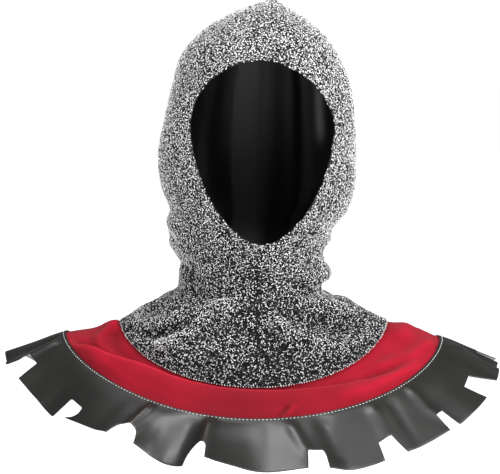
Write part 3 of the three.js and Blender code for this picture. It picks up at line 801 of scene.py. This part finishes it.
def red_satin():
    """Satin with a faint weave, darker and lighter in soft clouds, with the painted shade and highlight of the
    crest value.
    """
    material, nodes, shader = new_material("red_satin_cloth", Roughness=0.62, Specular_IOR_Level=0.03,
                                           Sheen_Weight=0.035, Sheen_Roughness=0.6)
    clouds = on_cloth(nodes, "Noise", Scale=22.0, Detail=3.0)
    tone = toned(nodes, clouds["Fac"], (0.172, 0.0014, 0.0080), (0.224, 0.0024, 0.0118), 0.3, 0.7)
    set_on(shader, Base_Color=painted_fold_shade(nodes, tone, 0.4, 1.4))
    threads = on_cloth(nodes, "Wave", Scale=900.0, Distortion=0.4, Detail=1.0, bands_direction="DIAGONAL")
    embossed(nodes, shader, threads["Fac"], 0.2, 0.0002)
    return material


mantle.data.materials.append(red_satin())
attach(mantle, "root")
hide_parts("red_mantle")

# The strip is dark grey imitation leather, cut from the sheet in one ring with square notches
# that leave dags, and laid over the edge of the mantle. It falls in flutes that widen to the hem.
trim_wall = 1.3
trim_height = mantle_height + mantle_wall / 2 + layer_gap + trim_wall / 2
flute_growth, gather_fade = 1.15, 0.65
hem_lift = np.array([
    # angle, how far the hem is lifted
    (-180, -8.0), (-164, 9.0), (-149, -8.0), (-134, 8.0), (-122, 5.0), (-111, 12.0), (-101, 8.5),
    (-93, 8.5), (-87.5, 0.0), (-82, 6.0), (-75, 1.0), (-70, -4.0), (-65, -7.0), (-61, -9.0),
    (-54, -4.0), (-47.5, 1.5), (-42, 5.5), (-38, 10.5), (-30, 12.5), (-27, 7.0), (-24.5, 0.5),
    (-21, -4.0), (-16.5, 0.0), (-11.8, 19.0), (-9, 16.5), (-5, 11.0), (-1.5, 5.0), (1.5, 2.6),
    (5, 3.4), (11, 5.5), (16, 1.0), (21, -8.0), (26, -8.5), (30, -6.5), (35.5, -5.0), (42, -5.0),
    (48.5, -3.5), (53, -6.0), (59, -4.0), (66, -4.0), (70, -2.0), (74.5, 0.5), (80, -2.0),
    (84, -3.5), (88, -9.0), (92.5, 0.0), (100, 0.0), (118, -7.0), (134, 8.0), (149, -8.0), (164, 9.0),
])
gathers = [
    # height, half width, places along it
    (4.6, 4.6, [(-30.4, 122), (-33.4, 175)]),
    (1.0, 10.0, [(-25.0, 142), (-23.2, 205)]),
    (-2.0, 8.0, [(-18.0, 122), (-18.8, 175)]),
    (4.2, 4.6, [(-12.6, 122), (-13.6, 185)]),
    (-0.6, 6.0, [(3.0, 140), (3.5, 205)]),
    (2.4, 5.5, [(7.6, 122), (11.4, 172)]),
    (-2.4, 7.0, [(17.8, 122), (18.6, 180)]),
    (2.4, 6.5, [(34.8, 122), (31.6, 205)]),
    (-2.2, 6.5, [(41.2, 122), (38.1, 210)]),
    (2.4, 5.5, [(49.3, 122), (48.4, 165), (52, 200)]),
    (3.0, 4.5, [(-81.4, 122), (-81.5, 147), (-80.7, 175)]),
    (-2.5, 5.0, [(-86.5, 122), (-87, 170)]),
    (1.6, 4.0, [(80, 137), (88, 160), (86, 192)]),
]


def flute_lift(angle, distance):
    """The flutes, which grow from the seam to the hem, and the gathers that start at the seam."""
    grown = np.clip((distance - mantle_edge) / (hem - mantle_edge), 0, None) ** flute_growth
    at_seam, at_hem = round_rows(seam_lift, angle)[..., 0], round_rows(hem_lift, angle)[..., 0]
    gathered = sum(fold_lift(fold, angle, distance) for fold in gathers)
    gathered = gathered * ease(distance, mantle_edge - 7, mantle_edge + 11)
    gathered = gathered * (1 - gather_fade * np.clip(grown, 0, 1))
    return at_seam * (1 - grown) + at_hem * grown + gathered


notches = [
    # softness of the inner corners, then each corner's angle and depth, from the hem and back to it
    (1.0, [(-81.5, 0), (-81.0, 26), (-76.2, 27), (-74.7, 2.3)]),
    (2.5, [(-71, 2.2), (-66, 0.6), (-61, -3.0), (-58.2, -5.2), (-56.9, 23.7), (-51.2, 19.8),
           (-51, 11), (-52, 4.6), (-54.4, 0)]),
    (6.0, [(-37.7, 0), (-37, 11), (-36, 19), (-33.2, 23.5), (-30.6, 18.5), (-29.5, 4.6), (-29.3, 0)]),
    (6.0, [(-16.5, 0), (-16.2, 12), (-15.2, 22), (-13.5, 26.5), (-12, 22), (-11.5, 5), (-11.3, 0)]),
    (2.0, [(11, 0), (12, 21.6), (15.8, 21.6), (16, 14.4), (15.8, 0)]),
    (1.0, [(29.5, 0), (30.2, 19), (34.2, 21.5), (35.5, 0)]),
    (1.0, [(49, 0), (49, 19.5), (52, 21), (53, 0)]),
    (1.0, [(67, 0), (65, 23.4), (70, 26), (74.4, 0)]),
]
first_back, last_back, back_count, back_half, back_depth = 93.5, 261, 8, 2.4, 24
for turned in np.linspace(first_back, last_back, back_count):
    low, high = turn_between(0, turned - back_half), turn_between(0, turned + back_half)
    notches.append((1.0, [(low, 0), (low, back_depth), (high, back_depth), (high, 0)]))
trim_spacing, trim_per_degree, cut_spacing = 2.0, 4.0, 1.6
trim_rows = np.array([0.12, 0.35, 0.65, 1.4])
trim_painted_shade, trim_reach = 0.22, 6


def softened(corners, softness):
    """A path with its inner corners rounded off."""
    path = [corners[0]]
    for before, corner, after in zip(corners, corners[1:], corners[2:]):
        legs = [(end - corner) / np.hypot(*(end - corner)) * min(softness, 0.45 * np.hypot(*(end - corner)))
                for end in (before, after)]
        path += [corner + legs[0] * (1 - t) ** 2 + legs[1] * t ** 2 for t in np.linspace(0, 1, 7)]
    return path + [corners[-1]]


def hem_path():
    """The cut edge of the strip from the middle of the back round to the middle of the back."""
    path = [np.array([-180 * trim_per_degree, hem])]
    for softness, corners in sorted(notches, key=lambda notch: notch[1][0][0]):
        corners = [np.array([angle * trim_per_degree, hem - depth]) for angle, depth in corners]
        path += softened(corners, softness)
    return np.array(path + [np.array([180 * trim_per_degree, hem])])


def strip_cloth(name, start, spacing, height, wall, lift):
    """The dagged strip as a closed sheet."""
    cut = hem_path()
    fine = [cut[0]]
    for a, b in zip(cut, cut[1:]):
        steps = max(int(np.hypot(*(b - a)) / cut_spacing), 1)
        fine += [a + (b - a) * (k + 1) / steps for k in range(steps)]
    fine = np.array(fine)
    low, high = fine[0, 0], fine[-1, 0]
    loop = np.vstack([fine, [[high, start], [low, start]]])
    across = np.linspace(low, high, 2 * int((high - low) / spacing / 2) + 1)
    stops = np.concatenate([start + trim_rows, np.arange(start + 3, hem, spacing)])
    grid = rows_of(across, stops)
    gap = gap_to(fine, grid, closed=False)
    grid = grid[inside(loop, grid + [0, 1e-6]) & (gap > 1.2) | (np.abs(grid[:, 0]) > high - 1e-6)]
    away = square_to(np.gradient(fine, axis=0))
    bands = []
    for offset in trim_rows[:3]:
        band = fine + away * offset
        fits = inside(loop, band) & (gap_to(fine, band, closed=False) > 0.8 * offset)
        bands.append(band[fits & (np.abs(band[:, 0]) < high - 0.5)])
    points = np.vstack([fine, rows_of(across, [start]), *bands, grid])
    edges = [(k, k + 1) for k in range(len(fine) - 1)]
    edges += [(len(fine) + k, len(fine) + k + 1) for k in range(len(across) - 1)]
    plane, faces = meshed(points, edges)
    faces = faces[inside(loop, plane[faces].mean(1))]
    edge_gap = np.minimum(gap_to(fine, plane, closed=False), plane[:, 1] - start)
    edge_gap[edge_gap < 1e-4] = 0
    return closed_cloth(name, plane, faces, trim_per_degree, height, wall, lift, edge_gap)


trim, trim_angle, trim_distance, _ = strip_cloth(
    "dagged_strip", mantle_edge - trim_lap, trim_spacing, trim_height, trim_wall, flute_lift)
# The crest value paints shade in the hollows of the flutes and gathers and a painted highlight on their crests.
crest = 0.5 + trim_painted_shade * standing(flute_lift, trim_angle, trim_distance, trim_reach)
keep_on(trim, "crest", np.clip(crest, 0, 1))


def grey_leather():
    """Smooth coated cloth with a fine printed grain and a broad gloss, with the painted shade and highlight of
    the crest value.
    """
    material, nodes, shader = new_material("grey_imitation_leather", Roughness=0.40, Specular_IOR_Level=0.42)
    clouds = on_cloth(nodes, "Noise", Scale=30.0, Detail=4.0)
    tone = toned(nodes, clouds["Fac"], (0.0026, 0.0024, 0.0020), (0.0044, 0.0041, 0.0035), 0.35, 0.7)
    set_on(shader, Base_Color=painted_fold_shade(nodes, tone, 0.4, 2.0))
    grain = on_cloth(nodes, "Voronoi", Scale=900.0)
    embossed(nodes, shader, grain["Distance"], 0.18, 0.0002)
    return material


trim.data.materials.append(grey_leather())
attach(trim, "root")
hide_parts("dagged_trim")

# The strip is topstitched to the mantle with a pale grey thread, in small stitches a little in
# from its cut edge. Each stitch is a short plump bead of thread that sinks in at both ends.
stitch_pitch, stitch_length, stitch_width, stitch_proud, stitch_inset = 3.7, 2.1, 1.0, 0.8, 2.6
path_points = 720


def line_along(name, distance, height, lift, count):
    """A closed path on the cloth, with the way the cloth faces kept on each point."""
    angle = np.arange(count) * 360 / count - 180
    distance = np.full(count, float(distance))
    facing = outward(angle, distance)
    points = smooth_point(angle, distance) + facing * (height + lift(angle, distance))[:, None]
    mesh = bpy.data.meshes.new(name)
    mesh.from_pydata((points * 0.001).tolist(), [(k, (k + 1) % count) for k in range(count)], [])
    mesh.attributes.new("facing", "FLOAT_VECTOR", "POINT").data.foreach_set("vector", facing.ravel())
    return in_scene(name, mesh)


def thread_material(name, colour):
    """Sewing thread, darker and lighter along its twist."""
    material, nodes, shader = new_material(name, Roughness=0.6)
    place = nodes.new("ShaderNodeTexCoord").outputs["Object"]
    twist = node_of(nodes, "ShaderNodeTexNoise", Vector=place, Scale=900.0, Detail=2.0).outputs["Fac"]
    set_on(shader, Base_Color=toned(nodes, twist, [0.5 * part for part in colour], colour))
    return material


def stitch_nodes():
    """Plump beads along a path, with their flat side to the cloth."""
    given, made, ended = new_tree("stitch_nodes", Pitch="Float", Length="Float", Width="Float", Proud="Float",
                                  Turned="Float", Sway="Float", Smallest="Float", Seed="Int", Thread="Material")
    curve = made("GeometryNodeMeshToCurve", Mesh=given["Geometry"])
    spaced = made("GeometryNodeResampleCurve", mode="LENGTH", Curve=curve["Curve"], Length=given["Pitch"])
    bead = made("GeometryNodeMeshUVSphere", Segments=8, Rings=5, Radius=0.5)
    shape = made("ShaderNodeCombineXYZ", X=given["Length"], Y=given["Width"], Z=given["Proud"])
    formed = made("GeometryNodeTransform", Geometry=bead["Mesh"], Scale=shape["Vector"])
    facing = made("GeometryNodeInputNamedAttribute", data_type="FLOAT_VECTOR", Name="facing")
    tangent = made("GeometryNodeInputTangent")
    lay = made("FunctionNodeAxesToRotation", primary_axis="Z", secondary_axis="X",
               Primary_Axis=facing["Attribute"], Secondary_Axis=tangent["Tangent"])
    sway = made("FunctionNodeRandomValue", data_type="FLOAT", _2=-1, _3=1, Seed=given["Seed"])
    swing = made("ShaderNodeMath", operation="MULTIPLY_ADD", _0=sway[1], _1=given["Sway"], _2=given["Turned"])
    turn = made("FunctionNodeAxisAngleToRotation", Axis=(0, 0, 1), Angle=swing["Value"])
    final = made("FunctionNodeRotateRotation", rotation_space="LOCAL", Rotation=lay["Rotation"],
                 Rotate_By=turn["Rotation"])
    size = made("FunctionNodeRandomValue", data_type="FLOAT", _2=given["Smallest"], _3=1.1, Seed=given["Seed"])
    placed = made("GeometryNodeInstanceOnPoints", Points=spaced["Curve"], Instance=formed["Geometry"],
                  Rotation=final["Rotation"], Scale=size[1])
    return ended(placed["Instances"])


stitch_tree = stitch_nodes()
stitch_line = line_along("strip_stitches", mantle_edge - trim_lap + stitch_inset,
                         trim_height + trim_wall / 2, flute_lift, path_points)
strip_stitches = grown_on("strip_stitches", stitch_line, stitch_tree, Pitch=stitch_pitch / 1000,
                          Length=stitch_length / 1000, Width=stitch_width / 1000, Proud=stitch_proud / 1000,
                          Turned=0.0, Sway=0.12, Smallest=0.9, Seed=7,
                          Thread=thread_material("pale_grey_thread", (0.52, 0.52, 0.50)))
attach(strip_stitches, "root")

# The cut edge of the bib is overlocked in the knit's own silver yarn, so small loops stand all
# along it. They lean across the edge, no two at the same slant or of the same size.
edge_pitch, edge_length, edge_width, edge_proud, edge_turn = 2.6, 2.2, 0.9, 1.0, 70
edge_beyond, edge_height = 0.3, 0.1
loop_line = line_along("bib_edge_loops", bib_edge + edge_beyond, edge_height, coif_lift, path_points)
bib_edge_loops = grown_on("bib_edge_loops", loop_line, stitch_tree, Pitch=edge_pitch / 1000,
                          Length=edge_length / 1000, Width=edge_width / 1000, Proud=edge_proud / 1000,
                          Turned=math.radians(edge_turn), Sway=0.9, Smallest=0.4, Seed=9, Thread=lurex)
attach(bib_edge_loops, "root")

# The hood is shown as if on a wearer, over a plain pale studio floor. The world and two large soft lamps light
# it evenly, and one lamp overhead gives the strip its gloss.
floor_size, floor_drop = 12.0, -0.75
floor_mesh = bpy.data.meshes.new("studio_floor")
floor_mesh.from_pydata([(x * floor_size, y * floor_size, floor_drop) for x, y in
                        ((-1, -1), (1, -1), (1, 1), (-1, 1))], [], [(0, 1, 2, 3)])
floor_mesh.materials.append(new_material(
    "pale_floor", Base_Color=(0.95, 0.95, 0.95, 1), Roughness=0.9, Specular_IOR_Level=0.0,
    Emission_Color=(1, 1, 1, 1), Emission_Strength=0.85)[0])
floor = in_scene("studio_floor", floor_mesh)

bpy.context.scene.view_settings.view_transform = "Standard"
world = bpy.data.worlds.new("studio")
bpy.context.scene.world = world
world.use_nodes = True
sky = world.node_tree.nodes
soft = set_on(sky["Background"], Color=(1, 1, 1, 1), Strength=0.25)
white = node_of(sky, "ShaderNodeBackground", Color=(1, 1, 1, 1), Strength=1.0)
to_camera = sky.new("ShaderNodeLightPath").outputs["Is Camera Ray"]
choice = node_of(sky, "ShaderNodeMixShader", Fac=to_camera, _1=soft.outputs["Background"],
                 _2=white.outputs["Background"])
set_on(sky["World Output"], Surface=choice.outputs["Shader"])


def lamp(name, place, aim, width, height, power):
    """A soft area lamp turned towards a point."""
    data = bpy.data.lights.new(name, "AREA")
    data.shape = "RECTANGLE"
    data.size, data.size_y, data.energy = width, height, power
    light = in_scene(name, data)
    light.location = place
    way = np.array(aim) - np.array(place)
    light.rotation_euler = (math.atan2(math.hypot(way[0], way[1]), -way[2]), 0,
                            math.atan2(way[0], -way[1]) + math.pi)


lamp("left_lamp", (-1.7, -1.5, 0.35), (0, 0, -0.2), width=1.6, height=1.9, power=42)
lamp("right_lamp", (1.7, -1.2, 0.75), (0, 0, -0.2), width=1.6, height=1.9, power=114)
lamp("top_lamp", (-0.1, -0.32, 1.25), (0, -0.2, -0.4), width=0.8, height=0.5, power=25)

# The camera stands in front of the hood at chest height and looks slightly down on it.
camera_data = bpy.data.cameras.new("camera")
camera_data.lens, camera_data.sensor_width = 158.4, 36
camera = in_scene("camera", camera_data)
bpy.context.scene.camera = camera
look_at, away, tilt = (-0.007, 0.0, -0.2307), 2.2, math.radians(5)
camera.location = (look_at[0], look_at[1] - away * math.cos(tilt), look_at[2] + away * math.sin(tilt))
camera.rotation_euler = (math.pi / 2 - tilt, 0, 0)
